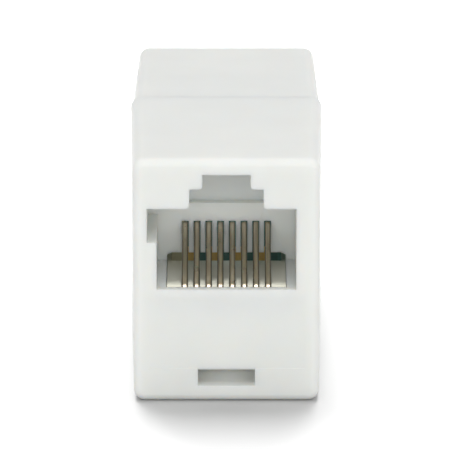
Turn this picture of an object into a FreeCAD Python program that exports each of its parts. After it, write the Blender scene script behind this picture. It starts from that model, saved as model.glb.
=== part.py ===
"""RJ45 inline coupler: two modular jacks back to back in a white two-part case.

Each half of the case is one moulding with a jack at its end. The two halves have the
same form, turned half a turn about Z, and meet at a seam across the middle, where the
front half is a little larger, so its edge stands proud and hides the joint.
Inside, a moulded carrier holds eight bent wire contacts in each jack. Their pins pass
through one upright circuit board at the seam, which joins the two jacks.

Frame: X is the width, Y the length, Z up. The origin is on the seam plane, under the
middle of the base. The front jack faces -Y and the rear jack faces +Y.
All sizes are in millimetres.
"""

import FreeCAD
import Part
import Sketcher
import math
import os

Vector = FreeCAD.Vector
Constraint = Sketcher.Constraint

# ---------------------------------------------------------------- driving sizes
SIZES = {
    # case
    "case_length": 36.0,
    "end_width": 15.8,
    "side_rise": 0.46,
    "top_rise": 0.4,
    "seam_step": 0.15,
    "long_corner": 0.95,
    "rim_round": 0.68,
    "side_wall": 1.25,
    "top_wall": 1.3,
    "latch_roof": 1.37,
    "floor_wall": 1.42,
    "front_wall": 1.3,
    # jack opening
    "cavity_width": 11.88,
    "cavity_floor": 10.09,
    "cavity_high": 7.17,
    "cavity_deep": 8.33,
    "edge_round": 0.32,
    "latch_wide": 6.3,
    "latch_wide_high": 1.73,
    "latch_narrow": 4.1,
    "latch_narrow_high": 3.01,
    "latch_lip": 1.7,
    "latch_side_room": 0.15,
    "key_slot_width": 0.82,
    "key_slot_high": 3.0,
    # wall at the back of the jack
    "comb_wall": 1.45,
    "comb_setback": 0.75,
    "comb_shelf_high": 5.17,
    "comb_slot_width": 0.6,
    "comb_slot_top": 3.54,
    "sill_high": 0.68,
    "sill_chamfer": 0.4,
    # shelf under the jack, and the front face
    "shelf_thick": 2.0,
    "ledge_width": 0.8,
    "ledge_thick": 0.6,
    "groove_high": 0.8,
    "panel_width": 13.4,
    "panel_under_jack": 0.85,
    "panel_over_window": 0.08,
    "panel_deep": 0.1,
    "window_width": 4.86,
    "window_high": 1.5,
    # contact carrier
    "slide_gap": 0.05,
    "carrier_drop": 0.12,
    "carrier_thick": 1.2,
    "slot_front": 0.75,
    "nose_deep": 1.25,
    "nose_flat": 0.02,
    "carrier_rib_high": 0.6,
    "wire_groove": 0.58,
    # contacts
    "contact_count": 8,
    "contact_pitch": 1.016,
    "wire_width": 0.48,
    "wire_thick": 0.32,
    "wire_gap": 0.03,
    "wire_bend": 0.5,
    "rise_angle": 25.65,
    "tail_angle": 15.0,
    "tip_bend": 0.4,
    "tip_past_wall": 0.09,
    "tail_past_wall": 0.92,
    "drop_past_wall": 0.97,
    "drop_angle": 45.0,
    "pin_out": 0.6,
    # board
    "board_side_gap": 0.16,
    "board_over_arm": 0.58,
    "board_high": 13.5,
    "board_thick": 1.6,
    "pin_hole_gap": 0.07,
    "row_over_edge": 0.81,
    "row_spacing": 2.54,
    "pad_thick": 0.05,
    "pad_ring": 0.12,
    "pad_arm_low": 0.62,
    "pad_arm_high": 2.2,
    "pad_arm_out": 0.95,
    "solder_ring": 0.17,
    "solder_slope": 12.0,
    "solder_high": 0.42,
    # board ribs, snap arm and side tab
    "rib_thick": 1.0,
    "rib_past_pins": 0.836,
    "rib_reach": 1.6,
    "rib_length": 6.0,
    "seam_gap": 0.02,
    "arm_inner": 0.5,
    "arm_width": 2.6,
    "arm_thick": 0.9,
    "arm_reach": 5.0,
    "arm_root": 2.5,
    "barb_high": 0.5,
    "barb_length": 0.9,
    "tab_thick": 0.7,
    "tab_reach": 1.8,
    "tab_high": 6.0,
}


class Size:
    """A number together with the sheet expression that gives it."""

    def __init__(self, number, text):
        self.number = float(number)
        self.text = text

    def _join(self, other, sign, number):
        other_text = other.text if isinstance(other, Size) else str(other)
        return Size(number, "(" + self.text + " " + sign + " " + other_text + ")")

    def __add__(self, other):
        return self._join(other, "+", self.number + plain(other))

    def __sub__(self, other):
        return self._join(other, "-", self.number - plain(other))

    def __mul__(self, other):
        return self._join(other, "*", self.number * plain(other))

    def __truediv__(self, other):
        return self._join(other, "/", self.number / plain(other))

    def __neg__(self):
        return Size(-self.number, "(-1 * " + self.text + ")")


def plain(value):
    """The number of a Size, or a bare number as it is."""
    return value.number if isinstance(value, Size) else float(value)


doc = FreeCAD.newDocument("Coupler")
sheet = doc.addObject("Spreadsheet::Sheet", "Sizes")
for row, (alias, number) in enumerate(SIZES.items(), start=1):
    sheet.set("A%d" % row, alias)
    sheet.set("B%d" % row, str(number))
    sheet.setAlias("B%d" % row, alias)
doc.recompute()


def size(alias):
    """The named size from the sheet."""
    return Size(SIZES[alias], "Sizes." + alias)


# ---------------------------------------------------------------- derived places
ORIGIN = Size(0, "0")
face_y = -size("case_length") / 2
cavity_half = size("cavity_width") / 2
cavity_floor = size("cavity_floor")
cavity_top = cavity_floor + size("cavity_high")
cavity_back = size("cavity_deep")
comb_back = cavity_back + size("comb_wall")
wide_top = cavity_top + size("latch_wide_high")
narrow_top = cavity_top + size("latch_narrow_high")
end_half = size("end_width") / 2
end_height = narrow_top + size("latch_roof")
seam_half = end_half + size("side_rise")
seam_height = end_height + size("top_rise")
shelf_bottom = cavity_floor - size("shelf_thick")
inner_half = seam_half - size("side_wall")
inner_top = seam_height - size("top_wall")
lower_half = end_half - size("side_wall")
tab_outer = inner_half - size("slide_gap")
tab_inner = tab_outer - size("tab_thick")
ledge_half = cavity_half - size("ledge_width")
ledge_bottom = cavity_floor - size("ledge_thick")
groove_bottom = ledge_bottom - size("groove_high")
groove_half = cavity_half - size("slide_gap")
carrier_top = cavity_floor - size("carrier_drop")
carrier_bottom = carrier_top - size("carrier_thick")
carrier_front = size("nose_deep")
carrier_back = cavity_back + size("comb_setback") / 4
nose_z = carrier_top - size("carrier_thick") / 2
nose_d = carrier_front + size("carrier_thick") / 2
wire_half = size("wire_thick") / 2
bend_radius = size("carrier_thick") / 2 + size("wire_gap") + wire_half
pin_hole = size("wire_width") / 2 + size("pin_hole_gap")
arm_top = size("floor_wall") + size("slide_gap") + size("arm_thick")
board_low = arm_top + size("board_over_arm")
board_half = size("board_thick") / 2
board_depth = size("case_length") / 2 - board_half
half_length = size("case_length") / 2
COUNT = int(SIZES["contact_count"])


# ---------------------------------------------------------------- sketch helpers
def new_body(label):
    """An empty body whose label names its file."""
    body = doc.addObject("PartDesign::Body", label)
    body.Label = label
    return body


def plane_of(body, role):
    """One of the body's own origin planes."""
    return [item for item in body.Origin.OriginFeatures if item.Role == role][0]


def new_sketch(body, name, role, offset):
    """An empty sketch on an origin plane, moved along the plane's normal by a Size."""
    sketch = body.newObject("Sketcher::SketchObject", name)
    sketch.AttachmentSupport = [(plane_of(body, role), "")]
    sketch.MapMode = "FlatFace"
    sketch.setExpression("AttachmentOffset.Base.z", offset.text)
    return sketch


def across(body, name, depth):
    """A sketch in X and Z, as deep behind the jack's front face as depth says."""
    return new_sketch(body, name, "XZ_Plane", half_length - depth)


def flat(body, name, offset):
    """A sketch in X and Y, at Z = offset."""
    return new_sketch(body, name, "XY_Plane", offset)


def lengthwise(body, name, offset):
    """A sketch in Y and Z, at X = offset."""
    return new_sketch(body, name, "YZ_Plane", offset)


def bind(sketch, constraint, value):
    """Add a constraint and bind its value to the sheet."""
    index = sketch.addConstraint(constraint)
    sketch.setExpression("Constraints[%d]" % index, value.text)


def place_point(sketch, item, point, x, y):
    """Fix a point of the sketch at x, y from its origin."""
    bind(sketch, Constraint("DistanceX", -1, 1, item, point, x.number), x)
    bind(sketch, Constraint("DistanceY", -1, 1, item, point, y.number), y)


def outline(sketch, corners):
    """A closed outline of straight lines through the corners."""
    count = len(corners)
    first = sketch.GeometryCount
    for index, (x, y) in enumerate(corners):
        nx, ny = corners[(index + 1) % count]
        start = Vector(x.number, y.number, 0)
        end = Vector(nx.number, ny.number, 0)
        sketch.addGeometry(Part.LineSegment(start, end), False)
    for index in range(count):
        following = first + (index + 1) % count
        sketch.addConstraint(Constraint("Coincident", first + index, 2, following, 1))
    for index, (x, y) in enumerate(corners):
        place_point(sketch, first + index, 1, x, y)


def rectangle(sketch, left, right, bottom, top):
    """A rectangle between four Sizes."""
    outline(sketch, [(left, bottom), (right, bottom), (right, top), (left, top)])


# ---------------------------------------------------------------- feature helpers
def solid_feature(body, kind, name, sketch, length, reverse=False, midplane=False):
    """A Pad or Pocket of one sketch that must change the body's volume."""
    doc.recompute()
    before = body.Shape.Volume if not body.Shape.isNull() else 0.0
    feature = body.newObject("PartDesign::" + kind, name)
    feature.Profile = sketch
    feature.Type = 0
    feature.setExpression("Length", length.text)
    feature.Reversed = reverse
    feature.Midplane = midplane
    doc.recompute()
    if abs(body.Shape.Volume - before) < 1e-6:
        raise RuntimeError(name + " changes nothing")
    return feature


def pad(body, name, sketch, length, reverse=False, midplane=False):
    return solid_feature(body, "Pad", name, sketch, length, reverse, midplane)


def pocket(body, name, sketch, length, reverse=False, midplane=False):
    return solid_feature(body, "Pocket", name, sketch, length, reverse, midplane)


def row_of(body, feature, name, axis_role, pitch, count, reverse=False):
    """Repeat a feature along one of the body's axes."""
    pattern = body.newObject("PartDesign::LinearPattern", name)
    pattern.Originals = [feature]
    pattern.Direction = (plane_of(body, axis_role), [""])
    pattern.setExpression("Length", (pitch * (count - 1)).text)
    pattern.Occurrences = count
    pattern.Reversed = reverse
    body.Tip = pattern
    doc.recompute()
    return pattern


def mirrored(body, features, name):
    """The same features on the other side of the X = 0 plane."""
    mirror = body.newObject("PartDesign::Mirrored", name)
    mirror.Originals = features
    mirror.MirrorPlane = (plane_of(body, "YZ_Plane"), [""])
    body.Tip = mirror
    doc.recompute()
    return mirror


def round_edges(body, name, radius, wanted):
    """Fillet the body's edges for which wanted(edge) is true."""
    doc.recompute()
    base = body.Tip
    picked = ["Edge%d" % (index + 1) for index, edge in enumerate(base.Shape.Edges) if wanted(edge)]
    if not picked:
        raise RuntimeError(name + " finds no edge")
    fillet = body.newObject("PartDesign::Fillet", name)
    fillet.Base = (base, picked)
    fillet.setExpression("Radius", radius.text)
    body.Tip = fillet
    doc.recompute()
    return fillet


# ---------------------------------------------------------------- case half
def case_shell(body, step):
    """The outer block: it widens and rises towards the seam, and its base is flat.

    At the seam this half is smaller than the other by step at each side and the top.
    """
    wide = seam_half - step
    high = seam_height - step
    plan = flat(body, "Plan", ORIGIN)
    outline(plan, [(-end_half, face_y), (end_half, face_y), (wide, ORIGIN), (-wide, ORIGIN)])
    pad(body, "Block", plan, high)
    slope = lengthwise(body, "TopSlope", ORIGIN)
    outline(slope, [(face_y, end_height), (ORIGIN, high), (face_y, high)])
    pocket(body, "TopSlopeCut", slope, wide * 4, midplane=True)
    face = face_y.number

    def runs_along(edge):
        return abs(edge.Vertexes[0].Y - edge.Vertexes[-1].Y) > 1

    def on_rim(edge):
        return all(abs(vertex.Y - face) < 1e-4 for vertex in edge.Vertexes)

    round_edges(body, "LongCorners", size("long_corner"), runs_along)
    round_edges(body, "RimRound", size("rim_round"), on_rim)


def case_hollows(body):
    """The space behind the jack for the board, and the one under the jack's shelf."""
    sketch = across(body, "BoardSpace", half_length)
    rectangle(sketch, -inner_half, inner_half, size("floor_wall"), inner_top)
    pocket(body, "BoardSpaceCut", sketch, half_length - comb_back, reverse=True)
    sketch = across(body, "LowerSpace", comb_back)
    rectangle(sketch, -lower_half, lower_half, size("floor_wall"), shelf_bottom)
    pocket(body, "LowerSpaceCut", sketch, comb_back - size("front_wall"), reverse=True)


def jack_opening(body):
    """The plug cavity, the stepped latch channel and the key slot."""
    sketch = across(body, "Cavity", ORIGIN)
    rectangle(sketch, -cavity_half, cavity_half, cavity_floor, cavity_top)
    pocket(body, "CavityCut", sketch, cavity_back)

    wide = size("latch_wide") / 2
    narrow = size("latch_narrow") / 2
    inside = cavity_top - size("latch_lip") / 4
    sketch = across(body, "LatchSteps", ORIGIN)
    outline(sketch, [(-wide, inside), (wide, inside), (wide, wide_top), (narrow, wide_top),
                     (narrow, narrow_top), (-narrow, narrow_top), (-narrow, wide_top), (-wide, wide_top)])
    pocket(body, "LatchStepsCut", sketch, size("latch_lip") + size("slide_gap"))

    pocket_half = wide + size("latch_side_room")
    sketch = across(body, "LatchPocket", size("latch_lip"))
    rectangle(sketch, -pocket_half, pocket_half, inside, narrow_top)
    pocket(body, "LatchPocketCut", sketch, cavity_back - size("latch_lip"))
    sketch = across(body, "LatchRecess", cavity_back)
    rectangle(sketch, -pocket_half, pocket_half, cavity_floor + size("comb_shelf_high"), narrow_top)
    pocket(body, "LatchRecessCut", sketch, size("comb_setback"))

    sketch = across(body, "KeySlot", ORIGIN)
    rectangle(sketch, -cavity_half - size("key_slot_width"), -cavity_half + size("slide_gap"),
              cavity_top - size("key_slot_high"), cavity_top)
    pocket(body, "KeySlotCut", sketch, cavity_back)


def jack_edges(body):
    """Small rounds at the mouth's inner corners and along its outer edge."""
    face = face_y.number
    wide = SIZES["latch_wide"] / 2
    narrow = SIZES["latch_narrow"] / 2
    convex = [(wide, cavity_top.number), (narrow, wide_top.number)]

    def at_convex_corner(edge):
        if len(edge.Vertexes) != 2 or abs(edge.Vertexes[0].Y - edge.Vertexes[1].Y) < 0.5:
            return False
        middle = edge.CenterOfMass
        if middle.y > face + SIZES["latch_lip"]:
            return False
        return any(abs(abs(middle.x) - x) < 1e-3 and abs(middle.z - z) < 1e-3 for x, z in convex)

    round_edges(body, "MouthCorners", size("edge_round"), at_convex_corner)


def comb_and_shelf(body):
    """The slot for the contact carrier, the sill over it and the comb for the contact tips."""
    sill = cavity_floor + size("sill_high")
    chamfer = size("sill_chamfer")
    below = shelf_bottom - size("slide_gap") * 2
    right = [(ledge_half, below), (ledge_half, groove_bottom), (cavity_half, groove_bottom),
             (cavity_half, ledge_bottom), (ledge_half, ledge_bottom),
             (ledge_half, sill - chamfer / 2), (ledge_half - chamfer, sill)]
    left = [(-x, z) for x, z in reversed(right)]
    sketch = across(body, "CarrierSlot", comb_back)
    outline(sketch, right + left)
    pocket(body, "CarrierSlotCut", sketch, comb_back - size("slot_front"), reverse=True)

    first = -size("contact_pitch") * ((COUNT - 1) / 2)
    half = size("comb_slot_width") / 2
    sketch = across(body, "CombSlot", comb_back)
    rectangle(sketch, first - half, first + half, sill - size("slide_gap"),
              cavity_floor + size("comb_slot_top"))
    slot = pocket(body, "CombSlotCut", sketch, size("comb_wall"), reverse=True)
    row_of(body, slot, "CombSlots", "X_Axis", size("contact_pitch"), COUNT)


def front_details(body):
    """The shallow panel and the small window low on the front face."""
    floor = size("floor_wall")
    window_top = floor + size("window_high")
    half = size("panel_width") / 2
    sketch = across(body, "Panel", ORIGIN)
    rectangle(sketch, -half, half, window_top + size("panel_over_window"),
              cavity_floor - size("panel_under_jack"))
    pocket(body, "PanelCut", sketch, size("panel_deep"))
    half = size("window_width") / 2
    sketch = across(body, "Window", ORIGIN)
    rectangle(sketch, -half, half, floor, window_top)
    pocket(body, "WindowCut", sketch, size("front_wall"))


def board_ribs(body):
    """Stepped ribs on the floor and under the top, which hold the board at the seam."""
    seat = -board_half - size("slide_gap")
    meet = -size("seam_gap")
    back = -size("rib_length")
    low = board_low
    high = low + size("board_high") + size("slide_gap")
    reach = size("rib_reach")
    floor = size("floor_wall") / 2
    roof = inner_top + size("top_wall") / 4
    spread = size("contact_pitch") * (COUNT / 2) + size("rib_past_pins")
    floor_rib = [(back, floor), (meet, floor), (meet, low), (seat, low), (seat, low + reach),
                 (back, low + reach)]
    roof_rib = [(back, roof), (back, high - reach), (seat, high - reach), (seat, high), (meet, high),
                (meet, roof)]
    ribs = []
    for name, corners in (("FloorRib", floor_rib), ("RoofRib", roof_rib)):
        sketch = lengthwise(body, name, spread)
        outline(sketch, corners)
        ribs.append(pad(body, name + "Pad", sketch, size("rib_thick"), midplane=True))
    mirrored(body, ribs, "RibPairs")


def snap_arm(body):
    """A hooked arm that runs over the other half's floor, and the catch for its arm."""
    floor = size("floor_wall")
    under = floor + size("slide_gap")
    reach = size("arm_reach")
    tip = reach - size("barb_length")
    root = -size("arm_root")
    middle = size("arm_inner") + size("arm_width") / 2
    barb = under - size("barb_high")
    sketch = lengthwise(body, "SnapArm", middle)
    outline(sketch, [(root, floor / 2), (-size("seam_gap"), floor / 2), (-size("seam_gap"), under),
                     (tip, under), (tip, barb), (reach - size("barb_length") / 2, barb),
                     (reach, under), (reach, arm_top), (root, arm_top)])
    pad(body, "SnapArmPad", sketch, size("arm_width"), midplane=True)

    room = size("slide_gap")
    sketch = lengthwise(body, "Catch", -middle)
    rectangle(sketch, -reach - room, -tip + room, barb - room, floor + room)
    pocket(body, "CatchCut", sketch, size("arm_width") + room * 2, midplane=True)


def side_tab(body):
    """A tab inside one side wall that steps over the seam and lines the halves up."""
    reach = size("tab_reach")
    sketch = flat(body, "SideTab", cavity_floor)
    root = inner_half + size("side_wall") / 4
    outline(sketch, [(tab_inner, -reach), (root, -reach), (root, -size("seam_gap")),
                     (tab_outer, -size("seam_gap")), (tab_outer, reach), (tab_inner, reach)])
    pad(body, "SideTabPad", sketch, size("tab_high"))


def case_half(label, turn, step):
    """One half of the case, turned about Z to its own end of the coupler."""
    body = new_body(label)
    case_shell(body, step)
    case_hollows(body)
    jack_opening(body)
    jack_edges(body)
    comb_and_shelf(body)
    front_details(body)
    board_ribs(body)
    snap_arm(body)
    side_tab(body)
    body.Placement = FreeCAD.Placement(Vector(0, 0, 0), Vector(0, 0, 1), turn)
    return body


# ---------------------------------------------------------------- contact carrier
def contact_carrier(label, turn):
    """The plate that the contacts bend round, with side rails back to the board."""
    body = new_body(label)
    plate_half = ledge_half - size("slide_gap")
    sketch = lengthwise(body, "Plate", ORIGIN)
    front = carrier_front - half_length
    back = carrier_back - half_length
    rectangle(sketch, front, back, carrier_bottom, carrier_top)
    pad(body, "PlatePad", sketch, plate_half * 2, midplane=True)
    nose = front.number

    def at_nose(edge):
        return all(abs(vertex.Y - nose) < 1e-4 for vertex in edge.Vertexes) and edge.Length > 2

    round_edges(body, "NoseRound", size("carrier_thick") / 2 - size("nose_flat"), at_nose)

    rail_low = groove_bottom + size("slide_gap")
    rail_high = ledge_bottom - size("slide_gap")
    rail_front = size("slot_front") + size("slide_gap")
    rail_back = board_depth - size("slide_gap")
    rail_inner = plate_half - size("carrier_thick") / 4
    sketch = across(body, "Rail", rail_front)
    rectangle(sketch, rail_inner, groove_half, rail_low, rail_high)
    rail = pad(body, "RailPad", sketch, rail_back - rail_front, reverse=True)
    mirrored(body, [rail], "Rails")

    rib_low = carrier_bottom - size("carrier_rib_high")
    span = size("contact_pitch") * (COUNT / 2)
    sketch = across(body, "GrooveBlock", nose_d)
    rectangle(sketch, -span, span, rib_low, carrier_bottom + size("slide_gap"))
    pad(body, "GrooveBlockPad", sketch, carrier_back - nose_d, reverse=True)
    first = -size("contact_pitch") * ((COUNT - 1) / 2)
    half = size("wire_groove") / 2
    sketch = across(body, "Groove", nose_d)
    rectangle(sketch, first - half, first + half, rib_low - size("slide_gap"), carrier_bottom)
    groove = pocket(body, "GrooveCut", sketch, carrier_back - nose_d)
    row_of(body, groove, "Grooves", "X_Axis", size("contact_pitch"), COUNT)
    body.Placement = FreeCAD.Placement(Vector(0, 0, 0), Vector(0, 0, 1), turn)
    return body


# ---------------------------------------------------------------- contacts
def row_height(number):
    """The pin row of a contact: odd ones above, even ones below."""
    lower = board_low + size("row_over_edge")
    return lower + size("row_spacing") if number % 2 else lower


def wire_path(sketch, row):
    """Pin, drop, run under the carrier, bend round its nose, rise and tip."""
    rise = math.radians(SIZES["rise_angle"])
    fall = math.radians(SIZES["tail_angle"])
    drop = math.radians(SIZES["drop_angle"])
    bend = SIZES["wire_bend"]
    tip = SIZES["tip_bend"]
    wide = bend_radius.number
    pin_y = board_half + size("pin_out")
    low_z = nose_z - bend_radius
    wall_y = cavity_back - half_length
    drop_y = wall_y + size("drop_past_wall")
    nose_y = nose_d - half_length
    tip_y = wall_y + size("tip_past_wall")
    tail_y = wall_y + size("tail_past_wall")

    # the two arcs of the drop: the first from the pin, the second into the lower run
    upper_centre = Vector(drop_y.number, low_z.number - bend, 0)
    fall_run = low_z.number - row.number - 2 * bend * (1 - math.cos(drop))
    cross = fall_run / math.tan(drop)
    lower_centre = Vector(drop_y.number + 2 * bend * math.sin(drop) + cross, row.number + bend, 0)
    nose_centre = Vector(nose_y.number, nose_z.number, 0)
    rise_start = nose_centre + Vector(-math.sin(rise), math.cos(rise), 0) * wide
    along = Vector(math.cos(rise), math.sin(rise), 0)
    inward = Vector(math.sin(rise), -math.cos(rise), 0)
    reach = (tip_y.number - tip * inward.x - rise_start.x) / along.x
    rise_end = rise_start + along * reach
    tip_centre = rise_end + inward * tip
    tail_start = tip_centre + Vector(math.sin(fall), math.cos(fall), 0) * tip
    tail_end = Vector(tail_y.number, tail_start.y - (tail_y.number - tail_start.x) * math.tan(fall), 0)

    def arc(centre, radius, start, end):
        circle = Part.Circle(centre, Vector(0, 0, 1), radius)
        return Part.ArcOfCircle(circle, start, end)

    lower_end = lower_centre + Vector(-math.sin(drop), -math.cos(drop), 0) * bend
    upper_end = upper_centre + Vector(math.sin(drop), math.cos(drop), 0) * bend
    half_turn = math.pi / 2
    items = [
        Part.LineSegment(Vector(pin_y.number, row.number, 0), Vector(lower_centre.x, row.number, 0)),
        arc(lower_centre, bend, -half_turn - drop, -half_turn),
        Part.LineSegment(lower_end, upper_end),
        arc(upper_centre, bend, half_turn - drop, half_turn),
        Part.LineSegment(Vector(upper_centre.x, low_z.number, 0), Vector(nose_centre.x, low_z.number, 0)),
        arc(nose_centre, wide, half_turn + rise, 3 * half_turn),
        Part.LineSegment(rise_start, rise_end),
        arc(tip_centre, tip, half_turn - fall, half_turn + rise),
        Part.LineSegment(tail_start, tail_end),
    ]
    for item in items:
        sketch.addGeometry(item, False)
    joins = [(0, 2, 1, 2), (1, 1, 2, 1), (2, 2, 3, 1), (3, 2, 4, 1), (4, 2, 5, 2),
             (5, 1, 6, 1), (6, 2, 7, 2), (7, 1, 8, 1)]
    for first, first_end, second, second_end in joins:
        sketch.addConstraint(Constraint("Tangent", first, first_end, second, second_end))
    place_point(sketch, 0, 1, pin_y, row)
    sketch.addConstraint(Constraint("Horizontal", 0))
    sketch.addConstraint(Constraint("Horizontal", 4))
    for index, radius in ((1, size("wire_bend")), (3, size("wire_bend")), (5, bend_radius),
                          (7, size("tip_bend"))):
        bind(sketch, Constraint("Radius", index, radius.number), radius)
    place_point(sketch, 5, 3, nose_y, nose_z)
    bind(sketch, Constraint("DistanceX", -1, 1, 3, 3, drop_y.number), drop_y)
    bind(sketch, Constraint("DistanceX", -1, 1, 7, 3, tip_centre.x), tip_y)
    bind(sketch, Constraint("DistanceX", -1, 1, 8, 2, tail_y.number), tail_y)
    bind(sketch, Constraint("Angle", 2, math.pi - drop), (-size("drop_angle") + 180))
    bind(sketch, Constraint("Angle", 6, rise), size("rise_angle"))
    bind(sketch, Constraint("Angle", 8, -fall), -size("tail_angle"))


def contact(label, number, side):
    """One bent wire contact; side is 1 in the front jack and -1 in the rear one."""
    body = new_body(label)
    row = row_height(number)
    pin_y = board_half + size("pin_out")
    section = new_sketch(body, "Section", "XZ_Plane", -pin_y)
    wide = size("wire_width") / 2
    rectangle(section, -wide, wide, row - wire_half, row + wire_half)
    path = lengthwise(body, "Path", ORIGIN)
    wire_path(path, row)
    doc.recompute()
    pipe = body.newObject("PartDesign::AdditivePipe", "Wire")
    pipe.Profile = section
    pipe.Spine = (path, ["Edge%d" % (index + 1) for index in range(9)])
    pipe.Transition = 0
    doc.recompute()
    middle = (COUNT + 1) / 2
    body.Placement = FreeCAD.Placement(Vector(0, 0, 0), Vector(0, 0, 1), 0 if side > 0 else 180)
    body.setExpression("Placement.Base.x", (size("contact_pitch") * (side * (middle - number))).text)
    return body


# ---------------------------------------------------------------- circuit board
def octagon(sketch, radius, x=ORIGIN, y=ORIGIN):
    """Eight straight sides about x, y; radius reaches the middle of each side."""
    side = radius * round(math.tan(math.pi / 8), 6)
    corners = [(radius, -side), (radius, side), (side, radius), (-side, radius),
               (-radius, side), (-radius, -side), (-side, -radius), (side, -radius)]
    outline(sketch, [(x + dx, y + dy) for dx, dy in corners])


def circuit_board(label):
    """The upright board on the seam, with a hole for each pin of both jacks."""
    body = new_body(label)
    half = tab_inner - size("board_side_gap")
    low = board_low + size("seam_gap")
    sketch = new_sketch(body, "Outline", "XZ_Plane", ORIGIN)
    rectangle(sketch, -half, half, low, low + size("board_high") - size("seam_gap"))
    pad(body, "BoardPad", sketch, size("board_thick"), midplane=True)
    first = -size("contact_pitch") * ((COUNT - 1) / 2)
    sketch = new_sketch(body, "PinHoles", "XZ_Plane", ORIGIN)
    for number in (1, 2):
        octagon(sketch, pin_hole, first, row_height(number))
    holes = pocket(body, "PinHolesCut", sketch, size("board_thick") * 2, midplane=True)
    row_of(body, holes, "PinHoleRows", "X_Axis", size("contact_pitch"), COUNT)
    return body


def pad_template(name, with_arm):
    """A copper pad round a pin hole at X = Z = 0, with or without a test arm above it."""
    body = new_body(name)
    half = pin_hole + size("pad_ring")
    sketch = new_sketch(body, "PadOutline", "XZ_Plane", board_half)
    if with_arm:
        low = size("pad_arm_low")
        high = size("pad_arm_high")
        out = size("pad_arm_out")
        outline(sketch, [(-half, -half), (half, -half), (half, low), (half / 4, low), (half / 4, high),
                         (-out, high), (-out, low), (-half, low)])
    else:
        rectangle(sketch, -half, half, -half, half)
    octagon(sketch, pin_hole)
    pad(body, "PadPad", sketch, size("pad_thick"))
    return body


def solder_template(name):
    """A solder cone round a pin at X = Z = 0, standing out from the board's -Y face."""
    body = new_body(name)
    base = new_sketch(body, "SolderBase", "XZ_Plane", board_half)
    octagon(base, pin_hole + size("solder_ring"))
    cone = pad(body, "SolderCone", base, size("solder_high"))
    cone.setExpression("TaperAngle", (-size("solder_slope")).text)
    hole = new_sketch(body, "SolderHole", "XZ_Plane", board_half)
    octagon(hole, pin_hole)
    pocket(body, "SolderHoleCut", hole, size("solder_high"), reverse=True)
    return body


def group_of(label, placed):
    """One node of separate solids: each is a template's shape, moved and turned."""
    group = doc.addObject("Part::Feature", label)
    group.Label = label
    shapes = []
    for template, x, z, turn in placed:
        shape = template.Shape.copy()
        shape.translate(Vector(x, 0, z))
        shape.rotate(Vector(0, 0, 0), Vector(0, 0, 1), turn)
        shapes.append(shape)
    group.Shape = Part.makeCompound(shapes)
    return group


def board_metal():
    """The pads where pins enter the board, and the solder where they leave it."""
    armed = pad_template("ArmedPad", True)
    square = pad_template("SquarePad", False)
    solder = solder_template("SolderJoint")
    pads = []
    joints = []
    pitch = SIZES["contact_pitch"]
    for number in range(1, COUNT + 1):
        x = pitch * ((COUNT + 1) / 2 - number)
        z = row_height(number).number
        for turn in (0, 180):
            pads.append((armed if number % 2 else square, x, z, turn))
            joints.append((solder, -x, z, turn))
    return [group_of("board_pads", pads), group_of("solder_joints", joints)]


# ---------------------------------------------------------------- assembly
nodes = [
    case_half("front_housing", 0, ORIGIN),
    case_half("rear_housing", 180, size("seam_step")),
    contact_carrier("front_contact_carrier", 0),
    contact_carrier("rear_contact_carrier", 180),
    circuit_board("circuit_board"),
]
nodes += board_metal()
for number in range(1, COUNT + 1):
    nodes.append(contact("front_contact_%d" % number, number, 1))
    nodes.append(contact("rear_contact_%d" % number, number, -1))
doc.recompute()

faults = [item.Name for item in doc.Objects if "Invalid" in item.State or "Error" in item.State]
for node in nodes:
    if node.Shape.isNull() or not node.Shape.isValid():
        faults.append(node.Label)
if faults:
    raise RuntimeError("failed: " + ", ".join(faults))

os.makedirs("parts", exist_ok=True)
for node in nodes:
    node.Shape.exportStep("parts/" + node.Label + ".step")
    box = node.Shape.BoundBox
    print("%-24s solids %2d volume %8.2f  x %6.2f %6.2f  y %6.2f %6.2f  z %6.2f %6.2f" % (
        node.Label, len(node.Shape.Solids), node.Shape.Volume,
        box.XMin, box.XMax, box.YMin, box.YMax, box.ZMin, box.ZMax))
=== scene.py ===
# %% [markdown]
# # An inline coupler for modular network plugs
# The object is a small white plastic block, 36 mm long, with a jack at each end. Two mouldings
# of one pattern meet at a seam across the middle. In each jack eight bent wires wait for a plug,
# and behind them a green circuit board joins the two jacks. This lesson dresses the packed
# solids: it softens the moulded edges, draws the wires with Geometry Nodes and gives every piece
# its finish.

# %% Load the frame
import math

import bmesh
import bpy
from mathutils import Matrix, Vector


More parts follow.
